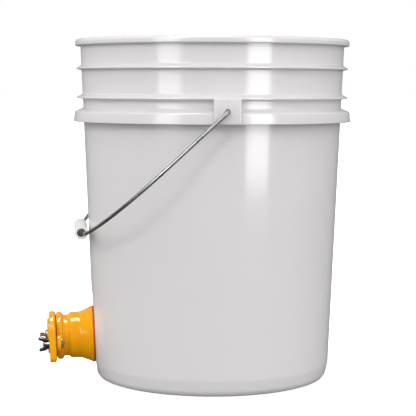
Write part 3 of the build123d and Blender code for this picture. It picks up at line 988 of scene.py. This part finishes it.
# ---- the object -----------------------------------------------------------
pail_plastic = natural_plastic("natural_hdpe", 0.70, 0.14)
grip_plastic = natural_plastic("grip_plastic", 0.80, 0.24)
yellow = yellow_plastic()
red_rubber = rubber("red_rubber", (0.48, 0.035, 0.010, 1), (0.62, 0.06, 0.016, 1))
black_rubber = rubber("black_rubber", grey(0.012), grey(0.035))
zinc = steel("zinc_steel", 0.30, 0.46, 0.26, 90)
wire_steel = steel("bail_steel", 0.36, 0.46, 0.30, 40)

dress(make_pail(), pail_plastic, "root", "natural_hdpe", "pail")
dress(make_bail(), wire_steel, "bail", "bail_steel", "bail_wire")
dress(make_grip(), grip_plastic, "grip", "grip_plastic", "bail_grip")
dress(make_gasket(), red_rubber, "root", "red_rubber", "flange_gasket")
dress(make_spout(), yellow, "root", "yellow_plastic", "spout_body")
dress(make_lock_nut(), yellow, "root", "yellow_plastic", "lock_nut")
dress(make_seal(), black_rubber, "root", "black_rubber", "face_seal")
dress(make_plate(), yellow, "gate", "yellow_plastic", "gate_plate")
for key, spot, turn in (("pivot", PIVOT, PIVOT_NUT_TURN), ("latch", LATCH, LATCH_NUT_TURN)):
    dress(make_bolt(f"{key}_bolt_threaded", spot), zinc, "root", "zinc_steel", f"{key}_bolt")
    dress(make_washer(f"{key}_washer_plain", spot), zinc, f"{key}_washer", "zinc_steel", f"{key}_washer")
    nut = make_wing_nut(f"{key}_wing_nut_cast", spot, turn)
    dress(nut, zinc, f"{key}_nut", "zinc_steel", f"{key}_wing_nut")


# ---- floor, light and camera ----------------------------------------------
def make_floor():
    """A plain pale floor; it doesn't throw light back up, so the object's undersides stay dark."""
    reach = 40.0
    corners = [(-reach, -reach, 0), (reach, -reach, 0), (reach, reach, 0), (-reach, reach, 0)]
    floor = new_object("floor", corners, [[0, 1, 2, 3]])
    s = Surface("pale_floor", Roughness=0.7, Emission_Strength=0.62)
    s.shader.inputs["Emission Color"].default_value = (1, 1, 1, 1)
    s.colour(s.clouds(3, 3, [(0.3, grey(0.86)), (0.7, grey(0.88))]))
    floor.data.materials.append(s.material)
    floor.visible_diffuse = False
    floor.visible_glossy = False


def softbox(name, place, target, width, height, power, lights=False):
    """A softbox that shows as a bright strip in glossy surfaces; the world gives most of the light."""
    data = bpy.data.lights.new(name, "AREA")
    data.shape = "RECTANGLE"
    data.size = width
    data.size_y = height
    data.energy = power
    light = bpy.data.objects.new(name, data)
    light.location = place
    light.rotation_euler = (Vector(target) - Vector(place)).to_track_quat("-Z", "Y").to_euler()
    light.visible_camera = False
    light.visible_diffuse = lights
    bpy.context.scene.collection.objects.link(light)


def make_world(front, side, back, below, above, turn, power, gloss):
    """Soft light from the front and back, dimmer at the sides, above and below, and a white backdrop.

    Glossy surfaces see it at the lower level gloss, as in a dark studio lit by softboxes.
    """
    world = bpy.data.worlds.new("studio")
    world.use_nodes = True
    tree = world.node_tree
    nodes, links = tree.nodes, tree.links

    def chosen(switch, low, high):
        node = nodes.new("ShaderNodeMapRange")
        links.new(switch, node.inputs["Value"])
        feed(tree, low, node.inputs["To Min"])
        feed(tree, high, node.inputs["To Max"])
        return node.outputs["Result"]

    mapping = nodes.new("ShaderNodeMapping")
    mapping.inputs["Rotation"].default_value = (0, 0, radians(turn))
    mapping.inputs["Scale"].default_value = (0.5, 0.5, 0.5)
    mapping.inputs["Location"].default_value = (0.5, 0.5, 0.5)
    links.new(nodes.new("ShaderNodeTexCoord").outputs["Generated"], mapping.inputs["Vector"])
    parts = nodes.new("ShaderNodeSeparateXYZ")
    links.new(mapping.outputs["Vector"], parts.inputs[0])
    around_stops = [(0.0, front), (0.5, side), (1.0, back)]
    height_stops = [(0.0, below), (0.38, 4 * below), (0.50, 0.65), (0.62, 1.0), (1.0, above)]
    around = colour_ramp(tree, parts.outputs["Y"], [(at, grey(level)) for at, level in around_stops])
    height = colour_ramp(tree, parts.outputs["Z"], [(at, grey(level)) for at, level in height_stops])
    product = colour_mix(tree, 1.0, around, height, "MULTIPLY")
    rays = nodes.new("ShaderNodeLightPath").outputs
    seen = colour_mix(tree, rays["Is Camera Ray"], product, grey(1))
    links.new(seen, nodes["Background"].inputs["Color"])
    lit = chosen(rays["Is Glossy Ray"], power, gloss)
    links.new(chosen(rays["Is Camera Ray"], lit, 1.0), nodes["Background"].inputs["Strength"])
    bpy.context.scene.world = world
    bpy.context.scene.view_settings.view_transform = "Standard"


make_floor()
make_world(front=1.0, side=0.58, back=1.1, below=0.08, above=0.8, turn=-36, power=1.9, gloss=0.36)
softbox("softbox_right", (0.564, -0.898, 0.585), (0, 0, 0.585), width=0.36, height=1.01, power=8.6)
softbox("softbox_left", (-0.688, -0.807, 0.645), (0, 0, 0.645), width=0.36, height=0.91, power=4.8)
softbox("key_left", (-1.3, -1.9, 1.5), (0, 0, 0.2), width=0.6, height=0.6, power=12, lights=True)
softbox("softbox_top", (-0.2, 0.10, 2.0), (-0.1, 0, 0), width=1.2, height=0.5, power=30)

# The camera stands in front of the near ear, a little towards the gate, and looks slightly down.
CAMERA_TURN = radians(5.7)
CAMERA_DIP = radians(4.87)
CAMERA_DISTANCE = 1.579
CAMERA_SIDE = 0.0041
CAMERA_HEIGHT = 0.3206
CAMERA_ROLL = radians(0.2)
CAMERA_LENS = 123.6
ahead = Vector((sin(CAMERA_TURN), cos(CAMERA_TURN), 0))
right = Vector((cos(CAMERA_TURN), -sin(CAMERA_TURN), 0))
lens = bpy.data.cameras.new("camera")
lens.sensor_width = 36.0
lens.lens = CAMERA_LENS
camera = bpy.data.objects.new("camera", lens)
camera.location = -ahead * CAMERA_DISTANCE - right * CAMERA_SIDE + Vector((0, 0, CAMERA_HEIGHT))
aim = Euler((pi / 2 - CAMERA_DIP, 0, -CAMERA_TURN)).to_matrix() @ Matrix.Rotation(CAMERA_ROLL, 3, "Z")
camera.rotation_euler = aim.to_euler()
bpy.context.scene.collection.objects.link(camera)
bpy.context.scene.camera = camera
